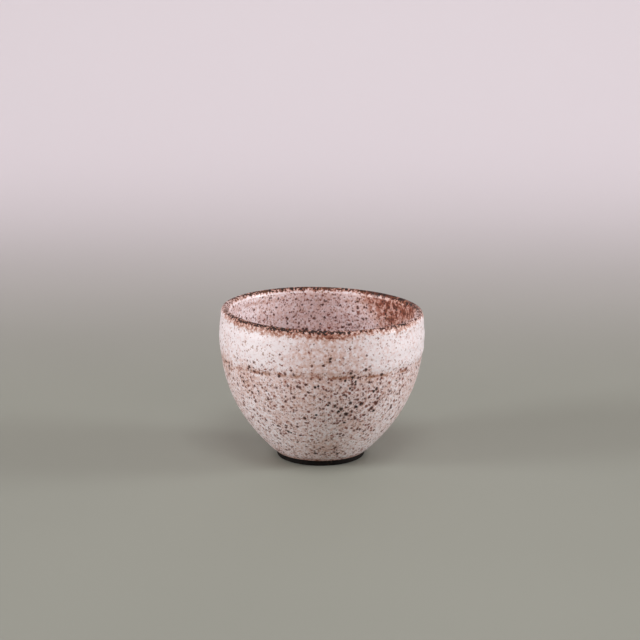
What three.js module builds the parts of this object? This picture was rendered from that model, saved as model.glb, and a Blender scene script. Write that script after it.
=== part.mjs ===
// A hand-thrown stoneware cup without a handle, glazed inside and out, in millimetres with +Z up.
// The origin is the middle of the foot ring, on the surface that the cup stands on.
// Every piece is a body of revolution: its profile is drawn in (radius, height) and turned about Z.

import * as THREE from "three";

// Thrown clay body, bare of glaze
const LIP_HEIGHT = 70.7; // top of the clay lip above the table
const BELLY_DIAMETER = 94.4; // outside, at the widest place
const BELLY_DEPTH = 11.7; // from the top of the lip down to the widest place
const MOUTH_DRAW_IN = 0.7; // how far the mouth is drawn in from the belly, on each side
const LIP_THICKNESS = 2.6;
const WALL_THICKNESS = 3.6; // at the belly
const HEEL_THICKNESS = 6; // low on the wall, where it turns into the base
const FLOOR_THICKNESS = 5;
const BOWL_ROUND = 9; // height over which the inside of the wall rounds into the floor
const HEEL_ANGLE = 50; // degrees between the table and the wall as it leaves the base
const HEEL_FULLNESS = 0.174; // how long the wall keeps its heel angle, as a share of its rise
const BELLY_FULLNESS = 0.604; // how long it stays upright under the belly, as a share of its rise
const SHOULDER_FULLNESS = 0.4; // the same for the short rise from the belly to the mouth

// Foot ring, luted to the flat base with slip
const FOOT_DIAMETER = 41.6;
const FOOT_HEIGHT = 2.2;
const FOOT_WIDTH = 5;
const FOOT_CHAMFER = 0.6;
const FOOT_INSET = 0.2; // the edge of the base stands this far outside the ring

// Glaze coats
const FIRST_COAT = 0.4; // poured inside, and outside down to the bare strip
const SECOND_COAT = 0.3; // from dipping the cup mouth down
const LIP_COAT = 0.25; // on the crest of the lip, where both coats run thin
const BARE_STRIP = 0.6; // height of bare clay left above the base
const DIP_DEPTH = 20.9; // from the top of the lip down to the second coat's edge outside
const INNER_DIP_DEPTH = 6.3; // the same inside, shorter because of the air caught in the mouth
const LIP_BAND_DEPTH = 2.3; // from the top of the lip down to where the thinned glaze starts

// Clearances between solids
const BOND_GAP = 0.05; // between a coat and what it is fused to, and under the base
const BUTT_GAP = 0.1; // between coats that end against each other

// Fineness of the facets
const TURN_SEGMENTS = 48;
const WALL_STEPS = 9;
const SHOULDER_STEPS = 3;
const LIP_STEPS = 6;
const FLOOR_STEPS = 5;

// A path is a list of places on a surface, each with its radius r and height z and its unit normal
// (nr, nz), which points to the right of the way that the path runs.
function pathAlong(curve, steps) {
  return Array.from({ length: steps + 1 }, (_, step) => {
    const point = curve.getPoint(step / steps);
    const tangent = curve.getTangent(step / steps);
    return { r: point.x, z: point.y, nr: tangent.y, nz: -tangent.x };
  });
}

function joinPaths(...paths) {
  return paths.flatMap((path, index) => (index === 0 ? path : path.slice(1)));
}

function placeBetween(a, b, share) {
  const mix = (key) => THREE.MathUtils.lerp(a[key], b[key], share);
  return { r: mix("r"), z: mix("z"), nr: mix("nr"), nz: mix("nz") };
}

// The two parts of a path that rises or falls all the way, above and below a height, in path order.
function splitAtHeight(path, height) {
  const rises = path.at(-1).z > path[0].z;
  const next = path.findIndex(({ z }, index) => index > 0 && (rises ? z >= height : z <= height));
  const before = path[next - 1];
  const after = path[next];
  const cut = placeBetween(before, after, (height - before.z) / (after.z - before.z));
  return [[...path.slice(0, next), cut], [cut, ...path.slice(next)]];
}

// The path that lies a given distance off a path, on the side that its normals point to.
function offsetPath(path, distance) {
  return path.map(({ r, z, nr, nz }) => ({ r: r + distance * nr, z: z + distance * nz, nr, nz }));
}

// Outside of the wall, from the base up to the mouth
const footRadius = FOOT_DIAMETER / 2;
const bellyRadius = BELLY_DIAMETER / 2;
const mouthRadius = bellyRadius - MOUTH_DRAW_IN;
const lipRadius = LIP_THICKNESS / 2;
const mouthHeight = LIP_HEIGHT - lipRadius;
const heel = new THREE.Vector2(footRadius + FOOT_INSET, FOOT_HEIGHT);
const belly = new THREE.Vector2(bellyRadius, LIP_HEIGHT - BELLY_DEPTH);
const mouth = new THREE.Vector2(mouthRadius, mouthHeight);
const wallRise = belly.y - heel.y;
const shoulderRise = mouth.y - belly.y;
const heelAngle = THREE.MathUtils.degToRad(HEEL_ANGLE);
const heelReach = wallRise * HEEL_FULLNESS;

const wallCurve = new THREE.CubicBezierCurve(
  heel,
  new THREE.Vector2(heel.x + heelReach * Math.cos(heelAngle), heel.y + heelReach * Math.sin(heelAngle)),
  new THREE.Vector2(belly.x, belly.y - wallRise * BELLY_FULLNESS),
  belly,
);
const shoulderCurve = new THREE.CubicBezierCurve(
  belly,
  new THREE.Vector2(belly.x, belly.y + shoulderRise * SHOULDER_FULLNESS),
  new THREE.Vector2(mouth.x, mouth.y - shoulderRise * SHOULDER_FULLNESS),
  mouth,
);
const outerWall = pathAlong(wallCurve, WALL_STEPS);
const outerShoulder = pathAlong(shoulderCurve, SHOULDER_STEPS);
const outside = joinPaths(outerWall, outerShoulder);

// Lip, a half round from the outside of the mouth to the inside
const lipCentre = mouthRadius - lipRadius;
const lipCurve = new THREE.EllipseCurve(lipCentre, mouthHeight, lipRadius, lipRadius, 0, Math.PI);
const lip = pathAlong(lipCurve, LIP_STEPS);

// Inside of the wall, which keeps the wall's thickness from the outside and then rounds into the floor
function innerSide(outerPath, lowThickness, highThickness) {
  const last = outerPath.length - 1;
  const inner = outerPath.map(({ r, z, nr, nz }, index) => {
    const thickness = THREE.MathUtils.lerp(lowThickness, highThickness, index / last);
    return { r: r - thickness * nr, z: z - thickness * nz, nr: -nr, nz: -nz };
  });
  return inner.reverse();
}

const floorHeight = FOOT_HEIGHT + FLOOR_THICKNESS;
const innerShoulder = innerSide(outerShoulder, WALL_THICKNESS, LIP_THICKNESS);
const innerWall = innerSide(outerWall, HEEL_THICKNESS, WALL_THICKNESS);
const [innerSteep] = splitAtHeight(innerWall, floorHeight + BOWL_ROUND);
const bowlEdge = innerSteep.at(-1);
const bowlCorner = bowlEdge.r - BOWL_ROUND * Math.abs(bowlEdge.nz / bowlEdge.nr);
const floorCurve = new THREE.QuadraticBezierCurve(
  new THREE.Vector2(bowlEdge.r, bowlEdge.z),
  new THREE.Vector2(bowlCorner, floorHeight),
  new THREE.Vector2(0, floorHeight),
);
const floor = pathAlong(floorCurve, FLOOR_STEPS);
floor[FLOOR_STEPS] = { r: 0, z: floorHeight, nr: 0, nz: 1 };
const inside = joinPaths(innerShoulder, innerSteep, floor);

// Where each coat of glaze runs
const glazeLine = FOOT_HEIGHT + BARE_STRIP;
const lipBandHeight = LIP_HEIGHT - LIP_BAND_DEPTH;
const coatTop = lipBandHeight - BUTT_GAP;
const [, glazedOutside] = splitAtHeight(outside, glazeLine);
const [firstOutside] = splitAtHeight(glazedOutside, coatTop);
const [, secondOutside] = splitAtHeight(firstOutside, LIP_HEIGHT - DIP_DEPTH);
const [, firstInside] = splitAtHeight(inside, coatTop);
const [secondInside] = splitAtHeight(firstInside, LIP_HEIGHT - INNER_DIP_DEPTH);
const [, lipOutside] = splitAtHeight(outside, lipBandHeight);
const [lipInside] = splitAtHeight(inside, lipBandHeight);
const lipBand = joinPaths(lipOutside, lip, lipInside);

// Distances of the coats' faces from the clay
const firstFloor = BOND_GAP;
const firstTop = firstFloor + FIRST_COAT;
const secondFloor = firstTop + BOND_GAP;
const secondTop = secondFloor + SECOND_COAT;

function coatProfile(path, floor, top) {
  return [...offsetPath(path, floor).reverse(), ...offsetPath(path, top)];
}

// Over the lip the glaze is as thick as both coats at the band's edges, and thins towards the crest.
function lipProfile() {
  const crestTop = firstFloor + LIP_COAT;
  const last = lipBand.length - 1;
  const top = lipBand.map((place, index) => {
    const fromCrest = Math.abs((2 * index) / last - 1);
    const distance = THREE.MathUtils.lerp(crestTop, secondTop, fromCrest * fromCrest);
    return offsetPath([place], distance)[0];
  });
  return [...offsetPath(lipBand, firstFloor).reverse(), ...top];
}

function clayProfile() {
  return [{ r: 0, z: FOOT_HEIGHT }, ...joinPaths(outside, lip, inside)];
}

// A square ring with both edges that meet the table taken off
function footProfile() {
  const outer = footRadius;
  const inner = footRadius - FOOT_WIDTH;
  const top = FOOT_HEIGHT - BOND_GAP;
  return [
    { r: inner + FOOT_CHAMFER, z: 0 },
    { r: outer - FOOT_CHAMFER, z: 0 },
    { r: outer, z: FOOT_CHAMFER },
    { r: outer, z: top },
    { r: inner, z: top },
    { r: inner, z: FOOT_CHAMFER },
  ];
}

// A profile whose ends lie on the axis is turned as it is, and any other is closed on itself first.
function turnedGeometry(profile) {
  const points = profile.map(({ r, z }) => new THREE.Vector2(r, z));
  const endsOnAxis = points[0].x === 0 && points.at(-1).x === 0;
  if (!endsOnAxis) {
    points.push(points[0].clone());
  }
  return new THREE.LatheGeometry(points, TURN_SEGMENTS).rotateX(Math.PI / 2);
}

function piece(name, profile, colour, roughness) {
  const material = new THREE.MeshStandardMaterial({ color: colour, roughness, metalness: 0 });
  const mesh = new THREE.Mesh(turnedGeometry(profile), material);
  mesh.name = name;
  return mesh;
}

const clay = new THREE.Group();
clay.add(
  piece("clay_body", clayProfile(), 0x4a3a31, 0.85),
  piece("foot_ring", footProfile(), 0x2e2520, 0.9),
);

const glaze = new THREE.Group();
glaze.add(
  piece("outer_glaze", coatProfile(firstOutside, firstFloor, firstTop), 0xd6c3bd, 0.3),
  piece("shoulder_glaze", coatProfile(secondOutside, secondFloor, secondTop), 0xe4dbdb, 0.25),
  piece("liner_glaze", coatProfile(firstInside, firstFloor, firstTop), 0xbfaaa8, 0.3),
  piece("inner_rim_glaze", coatProfile(secondInside, secondFloor, secondTop), 0xd9c8c8, 0.25),
  piece("lip_glaze", lipProfile(), 0x4b3026, 0.5),
);

const cup = new THREE.Group();
cup.add(clay, glaze);

export default cup;
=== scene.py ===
import math

import bmesh
import bpy
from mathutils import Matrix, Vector, geometry, noise


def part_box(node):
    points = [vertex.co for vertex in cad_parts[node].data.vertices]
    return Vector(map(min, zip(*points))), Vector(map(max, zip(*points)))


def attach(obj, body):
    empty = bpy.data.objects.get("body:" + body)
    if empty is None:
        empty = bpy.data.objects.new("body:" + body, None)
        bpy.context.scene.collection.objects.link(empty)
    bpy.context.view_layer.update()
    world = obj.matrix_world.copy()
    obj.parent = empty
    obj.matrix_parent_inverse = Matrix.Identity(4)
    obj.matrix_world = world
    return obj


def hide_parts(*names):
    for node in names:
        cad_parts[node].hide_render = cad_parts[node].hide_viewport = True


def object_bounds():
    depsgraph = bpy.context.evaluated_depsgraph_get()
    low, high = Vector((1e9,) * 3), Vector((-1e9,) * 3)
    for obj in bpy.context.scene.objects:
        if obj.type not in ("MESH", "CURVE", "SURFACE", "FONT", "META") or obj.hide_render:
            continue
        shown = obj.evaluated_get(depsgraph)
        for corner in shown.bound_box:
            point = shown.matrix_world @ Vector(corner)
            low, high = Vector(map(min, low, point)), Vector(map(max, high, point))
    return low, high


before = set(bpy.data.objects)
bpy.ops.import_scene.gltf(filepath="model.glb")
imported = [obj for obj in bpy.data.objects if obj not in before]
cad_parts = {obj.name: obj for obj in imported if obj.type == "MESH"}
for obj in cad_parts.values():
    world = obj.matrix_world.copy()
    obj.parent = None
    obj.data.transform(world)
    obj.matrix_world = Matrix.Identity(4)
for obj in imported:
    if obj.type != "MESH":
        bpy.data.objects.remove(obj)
cad_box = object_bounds()


# Clay body
# The bowl as it was thrown on the wheel, wall and floor in one, of a dark stoneware clay that holds iron.
# Every coat of glaze is fused to it and the foot ring is luted under it, so it shows bare only in a thin
# strip above the foot and on its turned underside.
MM = 0.001
clay_low, clay_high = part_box("clay_body")
base_height = clay_low.z
lip_height = clay_high.z
belly_radius = clay_high.x
foot_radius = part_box("foot_ring")[1].x
heel_radius = foot_radius + 0.2 * MM
belly_height = lip_height - 11.7 * MM
mouth_radius = belly_radius - 0.7 * MM
lip_thickness = 2.6 * MM
wall_thickness = 3.6 * MM
heel_thickness = 6 * MM
floor_height = base_height + 5 * MM
bowl_round = 9 * MM
heel_angle = math.radians(50)
heel_fullness = 0.174
belly_fullness = 0.604
shoulder_fullness = 0.4
TURN_STEPS = 160
OUTLINE_STEPS = 200
LIP_STEPS = 40
PATH_PACE = 0.3 * MM


def curve_points(start, start_handle, end_handle, end):
    """Points along a cubic curve in the (radius, height) plane, which is drawn as X and Z."""
    corners = [Vector((radius, 0, height)) for radius, height in (start, start_handle, end_handle, end)]
    return geometry.interpolate_bezier(*corners, OUTLINE_STEPS)


def with_normals(points):
    """A path: each point with its unit normal, to the right of the way that the points run."""
    path = []
    for index, point in enumerate(points):
        before = points[max(index - 1, 0)]
        after = points[min(index + 1, len(points) - 1)]
        way = (after - before).normalized()
        path.append((point, Vector((way.z, 0, -way.x))))
    return path


def along(path, distances):
    """The places of a path at the given distances from its start."""
    places = []
    walked = 0.0
    index = 0
    for distance in distances:
        while index < len(path) - 2 and walked + (path[index + 1][0] - path[index][0]).length < distance:
            walked += (path[index + 1][0] - path[index][0]).length
            index += 1
        (point, normal), (next_point, next_normal) = path[index], path[index + 1]
        share = min(1.0, (distance - walked) / (next_point - point).length)
        places.append((point.lerp(next_point, share), normal.lerp(next_normal, share).normalized()))
    return places


def path_length(path):
    return sum((b[0] - a[0]).length for a, b in zip(path, path[1:]))


def distance_at(path, height):
    """How far along a path its first place at a height is."""
    walked = 0.0
    for (a, _), (b, _) in zip(path, path[1:]):
        if (a.z - height) * (b.z - height) <= 0 and a.z != b.z:
            return walked + (b - a).length * (height - a.z) / (b.z - a.z)
        walked += (b - a).length


def between_heights(path, first=None, second=None):
    """The stretch of a path from one height to another; a height left out stands for the path's own end."""
    start = 0.0 if first is None else distance_at(path, first)
    end = path_length(path) if second is None else distance_at(path, second)
    steps = max(2, round((end - start) / PATH_PACE))
    return along(path, [start + (end - start) * step / steps for step in range(steps + 1)])


# Outside, lip and inside of the clay, drawn once; every coat of glaze lies on a stretch of them
wall_rise = belly_height - base_height
mouth_height = lip_height - lip_thickness / 2
shoulder_rise = mouth_height - belly_height
heel_reach = wall_rise * heel_fullness
outer_wall = curve_points(
    (heel_radius, base_height),
    (heel_radius + heel_reach * math.cos(heel_angle), base_height + heel_reach * math.sin(heel_angle)),
    (belly_radius, belly_height - wall_rise * belly_fullness),
    (belly_radius, belly_height),
)
outer_shoulder = curve_points(
    (belly_radius, belly_height),
    (belly_radius, belly_height + shoulder_rise * shoulder_fullness),
    (mouth_radius, mouth_height - shoulder_rise * shoulder_fullness),
    (mouth_radius, mouth_height),
)
outside = with_normals(outer_wall + outer_shoulder[1:])
lip_centre = Vector((mouth_radius - lip_thickness / 2, 0, mouth_height))
lip_angles = [math.pi * step / LIP_STEPS for step in range(LIP_STEPS + 1)]
lip_arc = [lip_centre + lip_thickness / 2 * Vector((math.cos(a), 0, math.sin(a))) for a in lip_angles]


def inner_side(outer_points, low_thickness, high_thickness):
    """The inside of a stretch of wall, running down, at a thickness that changes evenly along it."""
    last = len(outer_points) - 1
    inner = [
        point - normal * (low_thickness + (high_thickness - low_thickness) * index / last)
        for index, (point, normal) in enumerate(with_normals(outer_points))
    ]
    return inner[::-1]


inner_wall = inner_side(outer_wall, heel_thickness, wall_thickness)
inner_steep = [point for point in inner_wall if point.z > floor_height + bowl_round]
bowl_edge = inner_steep[-1]
bowl_way = (bowl_edge - inner_steep[-2]).normalized()
bowl_corner = bowl_edge + bowl_way * ((floor_height - bowl_edge.z) / bowl_way.z)
floor_middle = Vector((0, 0, floor_height))
bowl_floor = geometry.interpolate_bezier(
    bowl_edge,
    bowl_edge.lerp(bowl_corner, 2 / 3),
    floor_middle.lerp(bowl_corner, 2 / 3),
    floor_middle,
    OUTLINE_STEPS,
)
FLOOR_RIDGE = 0.14 * MM
FLOOR_RIDGE_PITCH = 4.6 * MM
for point in bowl_floor:
    flatness = max(0.0, 1 - point.x / bowl_corner.x)
    point.z += FLOOR_RIDGE * flatness * (1 - math.cos(2 * math.pi * point.x / FLOOR_RIDGE_PITCH))
inner_shoulder = inner_side(outer_shoulder, wall_thickness, lip_thickness)
inside = with_normals(inner_shoulder + inner_steep[1:] + bowl_floor[1:])
lip = with_normals(lip_arc)

LIP_TILT = 0.0236  # radians
LEAN = LIP_TILT / cad_box[1][2]
OUT_OF_ROUND = 0.22 * MM  # at the rim, as an oval, and half as much in three lobes
OVAL_START = 0.6  # radians
LOBES_START = 2.1
UNEVEN = 0.2 * MM
UNEVEN_SIZE = 38 * MM
RING_DEPTH = 0.09 * MM
RING_PITCH = 6.5 * MM
RING_PATCH = 30 * MM  # about how long a stretch of strong throwing rings is
RING_PATCH_FLATNESS = 2.5  # how many times longer it is than high
RIM_WAVE = 0.2 * MM
RIM_WAVE_SIZE = 22 * MM
ON_AXIS = 1e-7  # nearer to the axis than this, a place is left where it is


def hand_thrown(place):
    """Where throwing and firing left a place of the true round shape: uneven, ringed and leaning."""
    radius = math.hypot(place.x, place.y)
    if radius < ON_AXIS:
        return place
    angle = math.atan2(place.y, place.x)
    rise = place.z / lip_height
    fade = min(1.0, radius / heel_radius) * min(1.0, place.z / belly_height)
    ring_place = Vector((place.x, place.y, RING_PATCH_FLATNESS * place.z)) / RING_PATCH
    ring_strength = 0.6 + 0.6 * noise.noise(ring_place)
    swell = OUT_OF_ROUND * rise * math.cos(2 * angle + OVAL_START)
    swell += OUT_OF_ROUND * rise * 0.5 * math.cos(3 * angle + LOBES_START)
    swell += UNEVEN * noise.noise(place / UNEVEN_SIZE)
    swell += RING_DEPTH * ring_strength * math.sin(2 * math.pi * place.z / RING_PITCH - angle)
    wide = 1 + fade * swell / radius
    wavy_rim = RIM_WAVE * rise ** 6 * noise.noise(Vector((place.x, place.y, 0)) / RIM_WAVE_SIZE)
    x = place.x * wide
    return Vector((
        x + 0.5 * LEAN * place.z ** 2,
        place.y * wide,
        place.z * (1 - LEAN * x) + wavy_rim,
    ))


MERGE_DISTANCE = 0.0005 * MM
SHARP_EDGE = math.radians(50)


def turned(name, profile, closed, shape=hand_thrown):
    """A piece turned about the cup's axis from a profile in the XZ plane, then shaped place by place."""
    bm = bmesh.new()
    verts = [bm.verts.new(point) for point in profile]
    pairs = list(zip(verts, verts[1:])) + ([(verts[-1], verts[0])] if closed else [])
    edges = [bm.edges.new(pair) for pair in pairs]
    bmesh.ops.spin(
        bm, geom=verts + edges, cent=(0, 0, 0), axis=(0, 0, 1), dvec=(0, 0, 0),
        angle=2 * math.pi, steps=TURN_STEPS, use_merge=True, use_duplicate=False,
    )
    bmesh.ops.remove_doubles(bm, verts=bm.verts, dist=MERGE_DISTANCE)
    bmesh.ops.recalc_face_normals(bm, faces=bm.faces)
    for vert in bm.verts:
        vert.co = shape(vert.co)
    mesh = bpy.data.meshes.new(name)
    bm.to_mesh(mesh)
    bm.free()
    mesh.shade_smooth()
    mesh.set_sharp_from_angle(angle=SHARP_EDGE)
    piece = bpy.data.objects.new(name, mesh)
    bpy.context.scene.collection.objects.link(piece)
    return piece


TURNING_GROOVE = 0.16 * MM
TURNING_PITCH = 3.1 * MM
UNDERSIDE_STEPS = 100
CLAY_STRIDE = 8  # the clay keeps every eighth place of its outside and inside
CLAY_LIP_STRIDE = 4
grooved_radius = foot_radius - 6 * MM
underside = []
for step in range(UNDERSIDE_STEPS + 1):
    radius = heel_radius * step / UNDERSIDE_STEPS
    groove = TURNING_GROOVE * (0.5 - 0.5 * math.cos(2 * math.pi * radius / TURNING_PITCH))
    underside.append(Vector((radius, 0, base_height + (groove if radius < grooved_radius else 0))))
clay_outline = underside + [point for point, _ in outside[CLAY_STRIDE // 2::CLAY_STRIDE]]
clay_outline += lip_arc[CLAY_LIP_STRIDE // 2:-1:CLAY_LIP_STRIDE]
clay_outline += [point for point, _ in inside[::CLAY_STRIDE]] + [floor_middle]
clay_body = turned("clay_body_thrown", clay_outline, closed=False)


def hue(text):
    """A linear colour from the six-digit code of a colour as it is seen."""
    seen = [int(text[i:i + 2], 16) / 255 for i in (0, 2, 4)]
    return [c / 12.92 if c <= 0.04045 else ((c + 0.055) / 1.055) ** 2.4 for c in seen] + [1.0]


def put(tree, kind, *inputs, **settings):
    """A new node. Inputs are (socket, value or output socket), and settings the node's own values."""
    made = tree.nodes.new(kind)
    for name, value in settings.items():
        setattr(made, name, value)
    for socket, value in inputs:
        if isinstance(value, bpy.types.NodeSocket):
            tree.links.new(value, made.inputs[socket])
        else:
            made.inputs[socket].default_value = value
    return made


def sums(tree, operation, *values, clamp=False):
    """The result of a Math node."""
    return put(tree, "ShaderNodeMath", *enumerate(values), operation=operation, use_clamp=clamp).outputs[0]


def ranged(tree, value, low, high, to_low=0.0, to_high=1.0):
    """A value taken smoothly from one range to another and held at its ends."""
    made = put(
        tree, "ShaderNodeMapRange", (0, value), (1, low), (2, high), (3, to_low), (4, to_high),
        interpolation_type="SMOOTHSTEP",
    )
    return made.outputs[0]


def grain(tree, vector, size, detail=2.0, rough=0.5):
    """Noise whose blotches are about a given size across, from 0 to 1 around one half."""
    made = put(
        tree, "ShaderNodeTexNoise", ("Vector", vector), ("Scale", 1 / size), ("Detail", detail),
        ("Roughness", rough),
    )
    return made.outputs[0]


def blended(tree, share, first, second):
    """A colour between two colours."""
    made = put(tree, "ShaderNodeMix", (0, share), (6, first), (7, second), data_type="RGBA")
    return made.outputs[2]


def finish_material(name, dress):
    """A new material: dress(tree, vector, shader) wires its pattern to the shader."""
    material = bpy.data.materials.new(name)
    material.use_nodes = True
    tree = material.node_tree
    shader = tree.nodes["Principled BSDF"]
    vector = put(tree, "ShaderNodeTexCoord").outputs["Object"]
    dress(tree, vector, shader)
    return material


def wire_surface(tree, shader, surface, depth):
    """Feeds a group's colour, roughness and relief to the shader, the relief at the given depth."""
    tree.links.new(surface["Colour"], shader.inputs["Base Color"])
    tree.links.new(surface["Roughness"], shader.inputs["Roughness"])
    bump = put(tree, "ShaderNodeBump", ("Height", surface["Relief"]), ("Distance", depth), ("Strength", 1.0))
    tree.links.new(bump.outputs[0], shader.inputs["Normal"])


def new_group(name, inputs, outputs):
    """An empty node group with named sockets, as its tree, its input node and its output node."""
    tree = bpy.data.node_groups.new(name, "ShaderNodeTree")
    for socket, kind, value in inputs:
        made = tree.interface.new_socket(name=socket, in_out="INPUT", socket_type=kind)
        if value is not None:
            made.default_value = value
    for socket, kind in outputs:
        tree.interface.new_socket(name=socket, in_out="OUTPUT", socket_type=kind)
    return tree, tree.nodes.new("NodeGroupInput").outputs, tree.nodes.new("NodeGroupOutput").inputs


def placed(tree, group, *inputs):
    """A node group placed in a tree, with its inputs set or fed."""
    return put(tree, "ShaderNodeGroup", *inputs, node_tree=group).outputs


# Fired bare clay: dark, dry and gritty, warmer in patches and with paler grains of grog
bare_clay, given, result = new_group(
    "bare clay",
    [
        ("Vector", "NodeSocketVector", None),
        ("Dark", "NodeSocketColor", None),
        ("Warm", "NodeSocketColor", None),
    ],
    [("Colour", "NodeSocketColor"), ("Roughness", "NodeSocketFloat"), ("Relief", "NodeSocketFloat")],
)
GROG_COLOUR = hue("5e4536")
warm_patches = ranged(bare_clay, grain(bare_clay, given["Vector"], size=6 * MM, detail=4.0), 0.35, 0.7)
grit = grain(bare_clay, given["Vector"], size=0.55 * MM, detail=3.0, rough=0.7)
grog = ranged(bare_clay, grain(bare_clay, given["Vector"], size=0.9 * MM, detail=1.0), 0.66, 0.74)
clay_colour = blended(bare_clay, warm_patches, given["Dark"], given["Warm"])
clay_colour = blended(bare_clay, sums(bare_clay, "MULTIPLY", grog, 0.5), clay_colour, GROG_COLOUR)
bare_clay.links.new(clay_colour, result["Colour"])
bare_clay.links.new(ranged(bare_clay, grit, 0.2, 0.8, to_low=0.72, to_high=0.95), result["Roughness"])
bare_clay.links.new(grit, result["Relief"])


def clay_dress(dark, warm, depth, shine):
    """A dress of bare clay between two tones, with the depth of its grit and how much it shines."""
    def dress(tree, vector, shader):
        clay = placed(tree, bare_clay, ("Vector", vector), ("Dark", hue(dark)), ("Warm", hue(warm)))
        wire_surface(tree, shader, clay, depth)
        shader.inputs["Specular IOR Level"].default_value = shine
    return dress


# Its tones are darker than the fired clay's own: partly painted shade, for the shadow on the bare strip
# above the foot.
clay_body.data.materials.append(finish_material("bare stoneware with painted shade", clay_dress(
    dark="140e0b", warm="2a1c15", depth=0.12 * MM, shine=0.25,
)))
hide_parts("clay_body")
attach(clay_body, "root")


# Foot ring
# A low ring of the same dark clay, turned square and luted to the base with slip. It is wiped clean of
# glaze so that it can't stick to the kiln shelf, and its edges are softened with a sponge.
ring_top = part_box("foot_ring")[1].z
ring_width = 5 * MM
ring_edge = 0.6 * MM
RING_LEVELS = [0.45, 0.6, 0.8, 1.0]  # heights of the places up its sides, as shares of its own height
GRAIN_DEPTH = 0.05 * MM
GRAIN_SIZE = 2.2 * MM
SPONGE_DEPTH = 0.12 * MM
SPONGE_SIZE = 9 * MM


def foot_shape(place):
    """The ring as it is: a little uneven on its faces, and flat where it stands."""
    wander = GRAIN_DEPTH * noise.noise(place / GRAIN_SIZE) + SPONGE_DEPTH * noise.noise(place / SPONGE_SIZE)
    above = min(1.0, place.z / ring_edge)
    wide = 1 + wander * above / math.hypot(place.x, place.y)
    return Vector((place.x * wide, place.y * wide, place.z))


def soft_edge(centre_radius, from_angle, steps=6):
    """A quarter round, where one of the ring's sides meets the face that it stands on."""
    centre = Vector((centre_radius, 0, ring_edge))
    angles = [from_angle + math.pi / 2 * step / steps for step in range(steps + 1)]
    return [centre + ring_edge * Vector((math.cos(a), 0, math.sin(a))) for a in angles]


ring_inner = foot_radius - ring_width
ring_profile = soft_edge(foot_radius - ring_edge, -math.pi / 2)
ring_profile += [Vector((foot_radius, 0, ring_top * level)) for level in RING_LEVELS]
ring_profile += [Vector((ring_inner, 0, ring_top * level)) for level in reversed(RING_LEVELS)]
ring_profile += soft_edge(ring_inner + ring_edge, math.pi)
foot_ring = turned("foot_ring_turned", ring_profile, closed=True, shape=foot_shape)
# Its tones are near black, darker than the clay's own: partly painted shade, for the deep shadow where the
# ring stands.
foot_ring.data.materials.append(finish_material("bare foot clay with painted shade", clay_dress(
    dark="060403", warm="100a08", depth=0.15 * MM, shine=0.2,
)))
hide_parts("foot_ring")
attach(foot_ring, "root")


# First coat outside
# The base glaze, a pale pinkish feldspar glaze poured over the outside and wiped off just above the foot.
# The clay's iron bleeds through it as freckles, specks and spots, densest below the second coat's edge.
BOND = 0.03 * MM  # between a coat and what it is fused to
first_top = 0.45 * MM
second_floor = first_top + BOND
second_top = 0.8 * MM
glaze_line = base_height + 0.6 * MM
dip_height = lip_height - 20.4 * MM
inner_dip_height = lip_height - 6.3 * MM
lip_band_height = lip_height - 2.3 * MM
lip_coat = 0.25 * MM
BUTT = 0.02 * MM  # between coats that end against each other
FEATHER = 3.6 * MM  # width over which a coat runs out to its free edge
BEAD_RISE = 0.06  # as a share of the coat
BEAD_PLACE = 1.3  # from the free edge, as a share of the feather's width
FINE_PACES = [0, 0.15, 0.3, 0.5, 0.7, 0.95, 1.2, 1.5, 1.8, 2.2, 2.7]  # in mm
COARSE_PACE = 0.8 * MM
BONDED_PACE = 2 * MM
EDGE_WAVES = [(1, 1.3, 0.2), (3, 0.9, 0.3), (5, 0.3, 0.0)]  # count round the cup, swing in mm, start
EDGE_WAVE_FADE = 4 * MM


def paces(length, fine_start, fine_end):
    """Distances along a coat: close together at its feathered ends, and coarse elsewhere."""
    starts = [pace * MM for pace in FINE_PACES] if fine_start else [0]
    ends = [length - pace * MM for pace in reversed(FINE_PACES)] if fine_end else [length]
    count = max(1, round((ends[0] - starts[-1]) / COARSE_PACE))
    middle = [starts[-1] + (ends[0] - starts[-1]) * step / count for step in range(1, count)]
    return starts + middle + ends


def swelling(distance):
    """A coat's thickness near a free edge, as a share of the full one: feathered, then a slight bead."""
    share = min(1.0, distance / FEATHER)
    bead = BEAD_RISE * math.exp(-((distance / FEATHER - BEAD_PLACE) ** 2))
    return share * share * (3 - 2 * share) * (1 + bead)


def coat_profile(path, floor, top, feather_start=False, feather_end=False):
    """The closed outline of a coat on a path: its bonded face one way, and its free face back."""
    length = path_length(path)
    face = []
    distances = paces(length, feather_start, feather_end)
    for distance, (point, normal) in zip(distances, along(path, distances)):
        share = swelling(distance) if feather_start else 1.0
        if feather_end:
            share *= swelling(length - distance)
        face.append(point + normal * (floor + (top - floor) * share))
    back_count = max(2, round(length / BONDED_PACE))
    back = along(path, [length * step / back_count for step in range(back_count + 1)])
    bonded = [point + normal * floor for point, normal in back]
    if feather_start:
        bonded = bonded[1:]
    if feather_end:
        bonded = bonded[:-1]
    return bonded[::-1] + face


def wandering_edge(path, edge_height, swing):
    """A shaping that also lets a coat's edge wander up and down the wall, less and less away from it."""
    normal = along(path, [distance_at(path, edge_height)])[0][1]
    slope = -normal.z / normal.x

    def shape(place):
        angle = math.atan2(place.y, place.x)
        wave = sum(reach * math.sin(count * angle + start) for count, reach, start in EDGE_WAVES)
        near = math.exp(-abs(place.z - edge_height) / EDGE_WAVE_FADE)
        rise = swing * wave * MM * near
        wide = 1 + slope * rise / math.hypot(place.x, place.y)
        return hand_thrown(Vector((place.x * wide, place.y * wide, place.z + rise)))
    return shape


outer_path = between_heights(outside, glaze_line, lip_band_height - BUTT)
outer_glaze = turned(
    "outer_glaze_coat", coat_profile(outer_path, BOND, first_top, feather_start=True), closed=True,
)


def away_from(tree, vector, place):
    """How far the surface is from a place."""
    return put(tree, "ShaderNodeVectorMath", (0, vector), (1, place), operation="DISTANCE").outputs["Value"]


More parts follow.
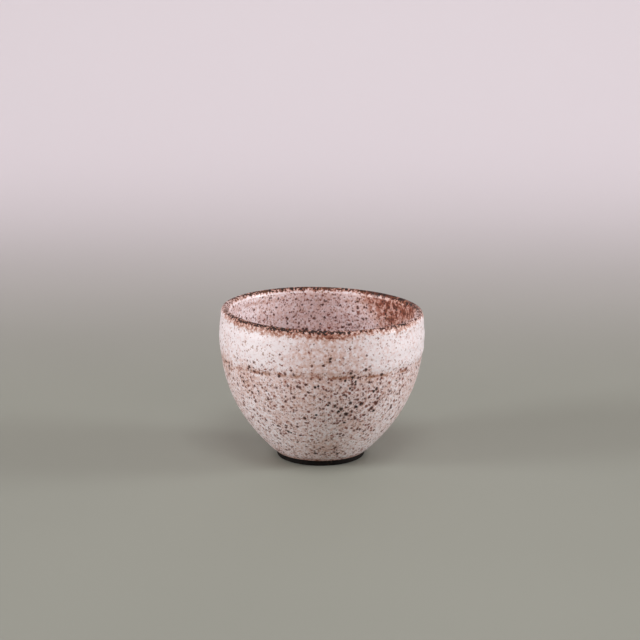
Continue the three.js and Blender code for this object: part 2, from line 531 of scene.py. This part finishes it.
def ragged(tree, vector, size, reach):
    """A vector pushed about by noise, which makes the outline of what reads it ragged."""
    middle = (0.5, 0.5, 0.5)
    noisy = put(tree, "ShaderNodeTexNoise", ("Vector", vector), ("Scale", 1 / size), ("Detail", 2.0))
    way = put(tree, "ShaderNodeVectorMath", (0, noisy.outputs["Color"]), (1, middle), operation="SUBTRACT")
    push = put(tree, "ShaderNodeVectorMath", (0, way.outputs[0]), ("Scale", reach), operation="SCALE")
    return put(tree, "ShaderNodeVectorMath", (0, vector), (1, push.outputs[0]), operation="ADD").outputs[0]


def swayed(tree, value, pattern, swing):
    """A value that a noise pushes up and down."""
    return sums(tree, "MULTIPLY_ADD", sums(tree, "SUBTRACT", pattern, 0.5), swing, value)


# Height on the cup as it was thrown, before it leaned, so that lines round it follow its lean
height_group, given, result = new_group(
    "thrown height",
    [("Vector", "NodeSocketVector", None)],
    [("Height", "NodeSocketFloat"), ("Wave", "NodeSocketFloat")],
)
sides = put(height_group, "ShaderNodeSeparateXYZ", (0, given["Vector"])).outputs
leaning = sums(height_group, "MULTIPLY_ADD", sides[0], LEAN, 1.0)
height_group.links.new(sums(height_group, "MULTIPLY", sides[2], leaning), result["Height"])
round_angle = sums(height_group, "ARCTAN2", sides[1], sides[0])
wave = 0.0
for count, reach, start in EDGE_WAVES:
    turn = sums(height_group, "SINE", sums(height_group, "MULTIPLY_ADD", round_angle, count, start))
    wave = sums(height_group, "MULTIPLY_ADD", turn, reach * MM, wave)
height_group.links.new(wave, result["Wave"])

# Iron specks: scattered grains, each with its own size, darkness and halo; a share of the cells holds one
SMALLEST_SPECK = 0.38  # as a share of the radius that is asked for
SPECK_SPREAD = 1.05  # how much more of that radius the largest speck has
SPECK_SOFTNESS = 0.42  # width of a soft edge, as a share of that radius
HALO_SOFTNESS = 1.3
HALO_SIZE = 1.8  # as a share of the single speck's own radius
speck_group, given, result = new_group(
    "iron specks",
    [
        ("Vector", "NodeSocketVector", None),
        ("Cell", "NodeSocketFloat", 2 * MM),
        ("Radius", "NodeSocketFloat", 0.3 * MM),
        ("Share", "NodeSocketFloat", 0.5),
    ],
    [("Mask", "NodeSocketFloat"), ("Halo", "NodeSocketFloat"), ("Darkness", "NodeSocketFloat")],
)
cells = put(
    speck_group, "ShaderNodeTexVoronoi", ("Vector", given["Vector"]),
    ("Scale", sums(speck_group, "DIVIDE", 1.0, given["Cell"])),
)
chances = put(speck_group, "ShaderNodeSeparateColor", (0, cells.outputs["Color"])).outputs
from_middle = sums(speck_group, "MULTIPLY", cells.outputs["Distance"], given["Cell"])
size_chance = sums(speck_group, "MULTIPLY", chances[0], chances[0])
own_size = sums(speck_group, "MULTIPLY_ADD", size_chance, SPECK_SPREAD, SMALLEST_SPECK)
own_radius = sums(speck_group, "MULTIPLY", given["Radius"], own_size)
halo_radius = sums(speck_group, "MULTIPLY", own_radius, HALO_SIZE)
held = sums(speck_group, "LESS_THAN", chances[1], given["Share"])
for output, radius, softness in (("Mask", own_radius, SPECK_SOFTNESS), ("Halo", halo_radius, HALO_SOFTNESS)):
    from_rim = sums(speck_group, "SUBTRACT", radius, from_middle)
    rim_width = sums(speck_group, "MULTIPLY", given["Radius"], softness)
    disc = sums(speck_group, "DIVIDE", from_rim, rim_width, clamp=True)
    speck_group.links.new(sums(speck_group, "MULTIPLY", disc, held), result[output])
speck_group.links.new(chances[2], result["Darkness"])

# Glaze: white and faintly lilac where it lies thick, pink and then rust where it is thin over the clay's
# iron, and near black on the lip. It thins at the lip, along the dip line, at its lower edge and in patches.
# One wide patch over the front of the shoulder is painted shade: its thinner glaze darkens the front.
SPOTS = [  # angle round the cup in degrees, height in mm and diameter in mm of the largest iron spots
    (-93.5, 45.2, 1.7), (-91.8, 45.9, 1.2), (-93, 31.2, 1.4), (-113.5, 21, 1.5), (-111.8, 20.6, 1.1),
    (-73, 7.8, 1.7), (-69, 35, 1.8), (-79.5, 33.2, 1.5), (-86, 36.5, 1.2), (-56, 31.6, 1.5),
    (-59, 41.9, 1.4), (-73, 49.9, 1.3), (-71, 47.6, 1.3), (-71, 46.4, 1.1), (-136.5, 39.2, 1.2),
    (-129, 40.1, 1.1), (-138, 35.4, 1.0), (-59.5, 56.5, 1.1), (-51.5, 54.1, 1.0), (-94.5, 65, 1.0),
    (-43, 45, 1.2), (-75, 27, 1.3), (-27, 42.5, 1.2), (-74, 44.5, 1.3), (-77, 48.3, 1.3),
]
PATCHES = [  # middle and reach in mm, then how much denser the specks are there and thinner the glaze
    ((15, -44, 46), 14, 1.2, 0.07), ((14, -41, 31), 15, 1.2, 0.07), ((26, -37, 38), 13, 0.9, 0.05),
    ((-44, -15, 49), 11, 0.5, 0.14), ((-34, -32, 47), 11, 0.5, 0.1), ((-22, -41, 48), 9, 0.4, 0.06),
    # The last patch below, wide over the front of the shoulder, is painted shade: its thinning darkens and
    # pinks the front.
    ((4, -29, 10), 12, 0.4, 0.08), ((-20, -38, 33), 14, 0.2, 0.04), ((3, -47, 60), 25, 0.1, 0.17),
    ((-30, 36, 40), 20, 0.5, 0.08), ((10, 45, 44), 18, 0.5, 0.1), ((44, 12, 38), 17, 0.45, 0.08),
]
INNER_PATCHES = [  # the same for the coats inside
    ((43, 14, 67), 24, 1.0, 0.5), ((36, 26, 63), 18, 1.1, 0.5), ((29, 32, 69), 17, 1.0, 0.42),
    ((6, 42, 58), 30, 0.3, 0.02),
]
PALE_LIP_AND_PAINTED_HIGHLIGHT = [  # middle and reach in mm, and how much paler the lip is there, from white glaze left and painted highlight
    ((-46, 0, 71), 34, 0.9), ((46, -6, 70), 40, 1.0), ((24, -39, 70), 20, 0.7),
]
TONES = [  # colour of the glaze at each thickness
    (0.0, "1c0a06"), (0.15, "431a10"), (0.3, "7c4331"), (0.45, "a9725f"), (0.6, "c89f93"), (0.75, "ddc0b9"),
    (0.9, "ecdbdd"), (1.0, "f5eef3"),
]
LINE_BROWN = hue("8d5f43")
HALO_RUST = hue("9c5a42")
FRECKLE_RUST, FRECKLE_OCHRE = hue("8a4532"), hue("85551f")
SPECK_RUST, SPECK_DARK = hue("803c24"), hue("3f1004")
SPOT_BROWN, SPOT_DARK = hue("642a17"), hue("2b0a03")
BLOTCH_BLACK = hue("250b05")
CREST_SOLID, CREST_END = 1.5 * MM, 2.7 * MM  # from the top of the lip
FRINGE_SOLID, FRINGE_END = 2.5 * MM, 5.0 * MM  # from there too
LINE_SOLID, LINE_END = 0.1 * MM, 1.2 * MM  # from the middle of the dip line
BLEND_SOLID, BLEND_END = 0.2 * MM, 4.0 * MM  # up from the dip line
EDGE_END = 1.6 * MM  # up from the bare strip
spot_places = []
for degrees, millimetres, diameter in SPOTS:
    point, normal = along(outside, [distance_at(outside, millimetres * MM)])[0]
    surface = point + normal * first_top
    angle = math.radians(degrees)
    true_place = Vector((surface.x * math.cos(angle), surface.x * math.sin(angle), surface.z))
    spot_places.append((hand_thrown(true_place), diameter * MM / 2))

glaze, given, result = new_group(
    "iron glaze",
    [
        ("Vector", "NodeSocketVector", None),
        ("Thickness", "NodeSocketFloat", 0.75),
        ("Clouding", "NodeSocketFloat", 0.2),
        ("Mottling", "NodeSocketFloat", 0.2),
        ("Inside", "NodeSocketFloat", 0.0),
        ("Line Height", "NodeSocketFloat", dip_height),
        ("Line Strength", "NodeSocketFloat", 0.5),
        ("Line Blend", "NodeSocketFloat", 0.0),
        ("Freckles", "NodeSocketFloat", 0.5),
        ("Specks", "NodeSocketFloat", 0.3),
        ("Spots", "NodeSocketFloat", 0.1),
    ],
    [("Colour", "NodeSocketColor"), ("Roughness", "NodeSocketFloat"), ("Relief", "NodeSocketFloat")],
)
vector = given["Vector"]
thrown = placed(glaze, height_group, ("Vector", vector))
height = thrown["Height"]
fleck = grain(glaze, vector, size=1.4 * MM, detail=3.0, rough=0.6)
crust = grain(glaze, vector, size=1.1 * MM, detail=2.0, rough=0.6)
blotch = grain(glaze, vector, size=2.6 * MM, detail=2.0, rough=0.6)
small_cloud = grain(glaze, vector, size=4.5 * MM, detail=3.0, rough=0.6)
cloud = grain(glaze, vector, size=17 * MM, detail=3.0, rough=0.55)
curled = ragged(glaze, vector, size=0.7 * MM, reach=1.2 * MM)
torn = ragged(glaze, vector, size=6 * MM, reach=8 * MM)
torn = ragged(glaze, torn, size=2 * MM, reach=5 * MM)


def patches(places, choose):
    """Soft ragged patches, each as strong as choose says; where they overlap the strongest holds."""
    strongest = 0.0
    for entry in places:
        middle = Vector(entry[0]) * MM
        reach = entry[1] * MM
        patch = ranged(glaze, away_from(glaze, torn, middle), 0.2 * reach, reach, choose(entry), 0.0)
        strongest = sums(glaze, "MAXIMUM", strongest, patch)
    return strongest


def on_this_side(choose):
    """What the patches outside give to a coat outside, and the patches inside to a coat inside."""
    outer = patches(PATCHES, choose)
    inner = patches(INNER_PATCHES, choose)
    return put(glaze, "ShaderNodeMix", (0, given["Inside"]), (2, outer), (3, inner)).outputs[0]


richness = on_this_side(lambda entry: entry[2])
blotchy = ranged(glaze, blotch, 0.4, 0.6, to_low=0.5, to_high=1.4)
# Thinning in patches: real iron, except over the front of the shoulder, where it is painted shade.
patch_loss_and_painted_shade = sums(glaze, "MULTIPLY", on_this_side(lambda entry: entry[3]), blotchy)
# Paler lip: partly white glaze left on it, partly painted highlight over its sides and front right.
pale_lip_and_painted_highlight = patches(PALE_LIP_AND_PAINTED_HIGHLIGHT, lambda entry: entry[2])

# Over the lip: a dark crest, then outside a rust fringe, with flecks of white glaze left in both. The lip is
# paler over its sides and at the front right, partly from more white glaze and partly as painted highlight.
crest_depth = sums(glaze, "SUBTRACT", lip_height + BOND + lip_coat, height)
level = put(glaze, "ShaderNodeVectorMath", (0, vector), (1, (1, 1, 0)), operation="MULTIPLY").outputs[0]
from_axis = away_from(glaze, level, Vector((0.5 * LEAN * lip_height ** 2, 0, 0)))
from_crest = sums(glaze, "SUBTRACT", from_axis, lip_centre.x)
outer_side = ranged(glaze, from_crest, -0.2 * MM, 1.4 * MM)
crest_depth_squared = sums(glaze, "MULTIPLY", crest_depth, crest_depth)
crest_way = sums(glaze, "SQRT", sums(glaze, "MULTIPLY_ADD", from_crest, from_crest, crest_depth_squared))
crest_way = swayed(glaze, crest_way, fleck, 2.4 * MM)
crest = ranged(glaze, crest_way, CREST_SOLID, CREST_END, to_low=1.0, to_high=0.0)
fringe_way = swayed(glaze, crest_way, small_cloud, 7 * MM)
fringe_way = sums(glaze, "MULTIPLY_ADD", pale_lip_and_painted_highlight, 1.6 * MM, fringe_way)
fringe = ranged(glaze, fringe_way, FRINGE_SOLID, FRINGE_END, to_low=1.0, to_high=0.0)
fringe = sums(glaze, "MULTIPLY", fringe, outer_side)
pepper = sums(glaze, "MULTIPLY_ADD", pale_lip_and_painted_highlight, 0.06, crust)
pepper = ranged(glaze, pepper, 0.48, 0.62, to_low=1.0, to_high=0.0)
crest_base = sums(glaze, "MULTIPLY_ADD", pale_lip_and_painted_highlight, -0.25, 0.34)
crest_swing = sums(glaze, "MULTIPLY_ADD", pale_lip_and_painted_highlight, 0.05, 0.68)
crest_loss = sums(glaze, "MULTIPLY", crest, sums(glaze, "MULTIPLY_ADD", pepper, crest_swing, crest_base))
fringe_loss = sums(glaze, "MULTIPLY", fringe, sums(glaze, "MULTIPLY_ADD", pepper, 0.34, 0.2))
lip_loss = sums(glaze, "MAXIMUM", crest_loss, fringe_loss)

# Along the dip line, in broken dashes, with the first coat's iron reaching a little way up the second
line_place = sums(glaze, "ADD", given["Line Height"], thrown["Wave"])
above_line = sums(glaze, "SUBTRACT", height, line_place)
from_line = sums(glaze, "ABSOLUTE", swayed(glaze, above_line, fleck, 2.4 * MM))
line_mask = ranged(glaze, from_line, LINE_SOLID, LINE_END, to_low=1.0, to_high=0.0)
line_mask = sums(glaze, "MULTIPLY", line_mask, given["Line Strength"])
line_breaks = ranged(glaze, grain(glaze, vector, size=5 * MM, detail=3.0), 0.42, 0.62, to_low=0.05)
line_loss = sums(glaze, "MULTIPLY", line_mask, line_breaks)
blend_way = swayed(glaze, above_line, small_cloud, 9 * MM)
line_blend = ranged(glaze, blend_way, BLEND_SOLID, BLEND_END, to_low=1.0, to_high=0.0)
line_blend = sums(glaze, "MULTIPLY", line_blend, given["Line Blend"])
blend_loss = sums(glaze, "MULTIPLY", line_blend, 0.08)

# At the lower edge, just above the bare strip
edge_loss = ranged(glaze, height, glaze_line, glaze_line + EDGE_END, to_low=0.22, to_high=0.0)

# Thickness, and the colour that it gives
thickness = swayed(glaze, given["Thickness"], cloud, given["Clouding"])
thickness = swayed(glaze, thickness, fleck, given["Mottling"])
for loss in (patch_loss_and_painted_shade, line_loss, blend_loss, edge_loss, lip_loss):
    thickness = sums(glaze, "SUBTRACT", thickness, loss)
ramp = put(glaze, "ShaderNodeValToRGB", (0, thickness))
while len(ramp.color_ramp.elements) < len(TONES):
    ramp.color_ramp.elements.new(1.0)
for element, (place, code) in zip(ramp.color_ramp.elements, TONES):
    element.position = place
    element.color = hue(code)

# Freckles, specks and spots, more of them where iron is rich and along the dip line
rich = swayed(glaze, richness, small_cloud, 0.7)
rich = sums(glaze, "MULTIPLY_ADD", line_mask, 1.2, rich)
rich = sums(glaze, "MULTIPLY_ADD", line_blend, 0.5, rich)


def scattered(kind, gain, cell, radius, finer_cell=0.0, finer_radius=0.0):
    """Grains of one kind, as many as the coat asks for and more where iron is rich, and finer inside."""
    return placed(
        glaze, speck_group, ("Vector", curled),
        ("Cell", sums(glaze, "MULTIPLY_ADD", given["Inside"], -finer_cell, cell)),
        ("Radius", sums(glaze, "MULTIPLY_ADD", given["Inside"], -finer_radius, radius)),
        ("Share", sums(glaze, "MULTIPLY_ADD", rich, gain, given[kind])),
    )


freckles = scattered("Freckles", gain=0.3, cell=0.95 * MM, radius=0.45 * MM)
specks = scattered(
    "Specks", gain=0.6, cell=1.3 * MM, radius=0.68 * MM, finer_cell=0.22 * MM, finer_radius=0.11 * MM,
)
spots = scattered("Spots", gain=0.5, cell=2.3 * MM, radius=0.88 * MM, finer_radius=0.16 * MM)
blotches = 0.0
torn_edge = ragged(glaze, vector, size=0.8 * MM, reach=1.2 * MM)
for place, radius in spot_places:
    away = away_from(glaze, torn_edge, place)
    blotches = sums(glaze, "MAXIMUM", blotches, ranged(glaze, away, 0.7 * radius, 1.1 * radius, 1.0, 0.0))

# Colour: the glaze's own, then the dip line, and the iron in order of size
halos = sums(glaze, "MAXIMUM", specks["Halo"], spots["Halo"])
freckle_tint = blended(glaze, ranged(glaze, small_cloud, 0.4, 0.6), FRECKLE_RUST, FRECKLE_OCHRE)
speck_tint = blended(glaze, ranged(glaze, specks["Darkness"], 0.0, 0.7), SPECK_RUST, SPECK_DARK)
spot_tint = blended(glaze, ranged(glaze, spots["Darkness"], 0.0, 0.5), SPOT_BROWN, SPOT_DARK)
colour = ramp.outputs[0]
for mask, strength, tint in (
    (line_loss, 1.6, LINE_BROWN),
    (halos, 0.45, HALO_RUST),
    (freckles["Mask"], 0.7, freckle_tint),
    (specks["Mask"], 0.9, speck_tint),
    (spots["Mask"], 0.95, spot_tint),
    (blotches, 1.0, BLOTCH_BLACK),
):
    colour = blended(glaze, sums(glaze, "MULTIPLY", mask, strength, clamp=True), colour, tint)
glaze.links.new(colour, result["Colour"])

# Gloss and relief: the grains are drier and a little sunk, and the lip is dry and rough
grains = sums(glaze, "MAXIMUM", sums(glaze, "MAXIMUM", specks["Mask"], spots["Mask"]), blotches)
dryness = ranged(glaze, small_cloud, 0.3, 0.7, to_low=0.3, to_high=0.42)
dryness = sums(glaze, "MULTIPLY_ADD", lip_loss, 0.3, dryness)
glaze.links.new(sums(glaze, "MULTIPLY_ADD", grains, 0.25, dryness), result["Roughness"])
wavy = sums(glaze, "MULTIPLY", grain(glaze, vector, size=3.2 * MM, detail=1.0), 0.5)
fleck_relief = sums(glaze, "MULTIPLY_ADD", lip_loss, 0.6, 0.14)
relief = sums(glaze, "MULTIPLY_ADD", fleck, fleck_relief, wavy)
glaze.links.new(sums(glaze, "MULTIPLY_ADD", grains, -0.25, relief), result["Relief"])
RELIEF_DEPTH = 0.09 * MM


def glaze_dress(**values):
    """A dress for a coat of the iron glaze with its own values."""
    def dress(tree, vector, shader):
        settings = [(name.replace("_", " "), value) for name, value in values.items()]
        wire_surface(tree, shader, placed(tree, glaze, ("Vector", vector), *settings), RELIEF_DEPTH)
    return dress


outer_glaze.data.materials.append(finish_material("first coat glaze", glaze_dress(
    Thickness=0.9, Clouding=0.3, Mottling=0.9, Line_Strength=0.3, Freckles=0.95, Specks=0.46, Spots=0.07,
)))
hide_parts("outer_glaze")
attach(outer_glaze, "root")


# Second coat outside
# The cup was dipped mouth down in the same glaze, so its shoulder has a second, whiter coat. The coat runs
# out thin at its lower edge, and along that dip line the iron has drawn into a broken brown line.
shoulder_path = between_heights(outside, dip_height, lip_band_height - BUTT)
shoulder_glaze = turned(
    "shoulder_glaze_coat", coat_profile(shoulder_path, second_floor, second_top, feather_start=True),
    closed=True, shape=wandering_edge(outside, dip_height, swing=1.0),
)
shoulder_glaze.data.materials.append(finish_material("second coat glaze", glaze_dress(
    Thickness=0.98, Clouding=0.25, Mottling=0.8, Line_Strength=0.3, Line_Blend=1.0,
    Freckles=0.6, Specks=0.03, Spots=-0.03,
)))
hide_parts("shoulder_glaze")
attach(shoulder_glaze, "root")


# Liner
# The first coat inside, poured in and swilled round, over the wall and the floor with its throwing ridges.
# It is the same glaze, fused to the clay in the firing, and its specks are finer than those outside.
liner_path = between_heights(inside, lip_band_height - BUTT)
liner_profile = coat_profile(liner_path, BOND, first_top)
for pole in (liner_profile[0], liner_profile[-1]):
    pole.x = 0
liner_glaze = turned("liner_glaze_coat", liner_profile, closed=False)
liner_glaze.data.materials.append(finish_material("liner glaze", glaze_dress(
    Thickness=0.91, Clouding=0.25, Mottling=0.7, Line_Height=inner_dip_height, Line_Strength=0.1,
    Freckles=0.9, Specks=0.44, Spots=0.06, Inside=1.0,
)))
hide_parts("liner_glaze")
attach(liner_glaze, "root")


# Second coat inside
# The short band that the dip mouth down left inside, where the air caught in the bowl kept the glaze out.
# It runs out thin a few millimetres under the lip.
inner_rim_path = between_heights(inside, lip_band_height - BUTT, inner_dip_height)
inner_rim_glaze = turned(
    "inner_rim_glaze_coat", coat_profile(inner_rim_path, second_floor, second_top, feather_end=True),
    closed=True, shape=wandering_edge(inside, inner_dip_height, swing=0.4),
)
inner_rim_glaze.data.materials.append(finish_material("inner second coat glaze", glaze_dress(
    Thickness=0.88, Clouding=0.25, Mottling=0.8, Line_Height=inner_dip_height, Line_Strength=0.1,
    Freckles=0.95, Specks=0.42, Spots=0.03, Inside=1.0,
)))
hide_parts("inner_rim_glaze")
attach(inner_rim_glaze, "root")


# Lip
# The band over the lip, where both coats ran thin in the firing and the clay's iron burnt through dark
# brown, rough to the touch, with white beads of glaze left on the crest.
lip_path = between_heights(outside, lip_band_height) + lip[1:]
lip_path += between_heights(inside, None, lip_band_height)[1:]
lip_length = path_length(lip_path)
LIP_BAND_STEPS = 44
crest_top = BOND + lip_coat
lip_walk = along(lip_path, [lip_length * step / LIP_BAND_STEPS for step in range(LIP_BAND_STEPS + 1)])
lip_face = []
for step, (point, normal) in enumerate(lip_walk):
    off_crest = abs(2 * step / LIP_BAND_STEPS - 1)
    lip_face.append(point + normal * (crest_top + (second_top - crest_top) * off_crest ** 2))
lip_back = [point + normal * BOND for point, normal in lip_walk]
lip_glaze = turned("lip_glaze_band", lip_back[::-1] + lip_face, closed=True)
# The paler lip over the sides and front right is partly painted highlight.
lip_glaze.data.materials.append(finish_material("lip glaze", glaze_dress(
    Thickness=0.94, Clouding=0.25, Mottling=0.6, Line_Strength=0.0,
    Freckles=0.5, Specks=0.08, Spots=0.01, Inside=1.0,
)))
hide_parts("lip_glaze")
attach(lip_glaze, "root")


# Floor and backdrop
# A plain sweep: a grey-green table that curves up into a wall behind the cup, its colour painted paler
# towards the back as painted light. It lies a hair below the foot, so that the two faces don't coincide.
table_height = -0.02 * MM
sweep_side = 3
sweep_back = 0.55
sweep_curve = 1.2
sweep_top = 4
CURVE_STEPS = 24
sweep = bmesh.new()
sweep_points = [
    Vector((-sweep_side, -sweep_side, table_height)),
    Vector((-sweep_side, sweep_back, table_height)),
]
for step in range(1, CURVE_STEPS + 1):
    turn = math.pi / 2 * step / CURVE_STEPS
    behind = sweep_back + sweep_curve * math.sin(turn)
    sweep_points.append(Vector((-sweep_side, behind, table_height + sweep_curve * (1 - math.cos(turn)))))
sweep_points.append(Vector((-sweep_side, sweep_back + sweep_curve, sweep_top)))
sweep_verts = [sweep.verts.new(point) for point in sweep_points]
sweep_edges = [sweep.edges.new(pair) for pair in zip(sweep_verts, sweep_verts[1:])]
drawn = bmesh.ops.extrude_edge_only(sweep, edges=sweep_edges)["geom"]
drawn_verts = [part for part in drawn if isinstance(part, bmesh.types.BMVert)]
bmesh.ops.translate(sweep, verts=drawn_verts, vec=(2 * sweep_side, 0, 0))
bmesh.ops.recalc_face_normals(sweep, faces=sweep.faces)
sweep_mesh = bpy.data.meshes.new("sweep")
sweep.to_mesh(sweep_mesh)
sweep.free()
sweep_mesh.shade_smooth()
floor = bpy.data.objects.new("sweep", sweep_mesh)
bpy.context.scene.collection.objects.link(floor)


def dress_sweep(tree, vector, shader):
    behind = put(tree, "ShaderNodeSeparateXYZ", (0, vector)).outputs[1]
    tone = ranged(tree, grain(tree, vector, size=0.3, detail=2.0), 0.2, 0.8)
    table = blended(tree, tone, hue("969b92"), hue("9ca198"))
    # Paler further back: a painted gradient of light over the table and up the wall.
    sweep_colour_and_painted_light = blended(tree, ranged(tree, behind, 0.05, 0.85), table, hue("dad6dd"))
    tree.links.new(sweep_colour_and_painted_light, shader.inputs["Base Color"])
    shader.inputs["Roughness"].default_value = 0.75


floor.data.materials.append(finish_material("pale sweep", dress_sweep))


# Camera
# At the photograph's viewing angle, at about arm's length and looking down a little.
LOOKING_DOWN = 0.236  # radians
camera_data = bpy.data.cameras.new("photo_view")
camera_data.lens = 98.64
camera_data.sensor_width = 36
camera_data.clip_start = 0.01
camera = bpy.data.objects.new("photo_view", camera_data)
camera.location = (-0.3 * MM, -0.8, 0.25744)
camera.rotation_euler = (math.pi / 2 - LOOKING_DOWN, 0, 0)
bpy.context.scene.collection.objects.link(camera)
bpy.context.scene.camera = camera


# Light
# Two soft boxes far off to the sides and a little above the cup, so that its front is in half shade, a weak
# one above its front for the inside, a lamp turned to the wall behind, and a pale room.
def soft_box(name, place, aim, width, height, watts):
    """A rectangular lamp at a place, turned to what it is to light."""
    lamp = bpy.data.lights.new(name, "AREA")
    lamp.shape = "RECTANGLE"
    lamp.size = width
    lamp.size_y = height
    lamp.energy = watts
    box = bpy.data.objects.new(name, lamp)
    box.location = place
    box.rotation_euler = (Vector(aim) - Vector(place)).to_track_quat("-Z", "Y").to_euler()
    bpy.context.scene.collection.objects.link(box)


cup_middle = (0, 0, 0.035)
soft_box("right_box", place=(2.05, -0.08, 0.52), aim=cup_middle, width=0.6, height=0.6, watts=24.5)
soft_box("left_box", place=(-2.0, -0.52, 0.52), aim=cup_middle, width=0.6, height=0.6, watts=24.5)
soft_box("top_box", place=(0.1, -0.45, 0.95), aim=(0, 0, 0.06), width=0.4, height=0.4, watts=2.5)
soft_box("wall_wash", place=(0, 0.55, 0.7), aim=(0, 1.6, 0.2), width=1.6, height=0.3, watts=2.6)
world = bpy.data.worlds.new("room")
world.use_nodes = True
room = world.node_tree.nodes["Background"].inputs
room["Color"].default_value = hue("f0dcd6")
room["Strength"].default_value = 0.55
bpy.context.scene.world = world
bpy.context.scene.view_settings.view_transform = "Standard"
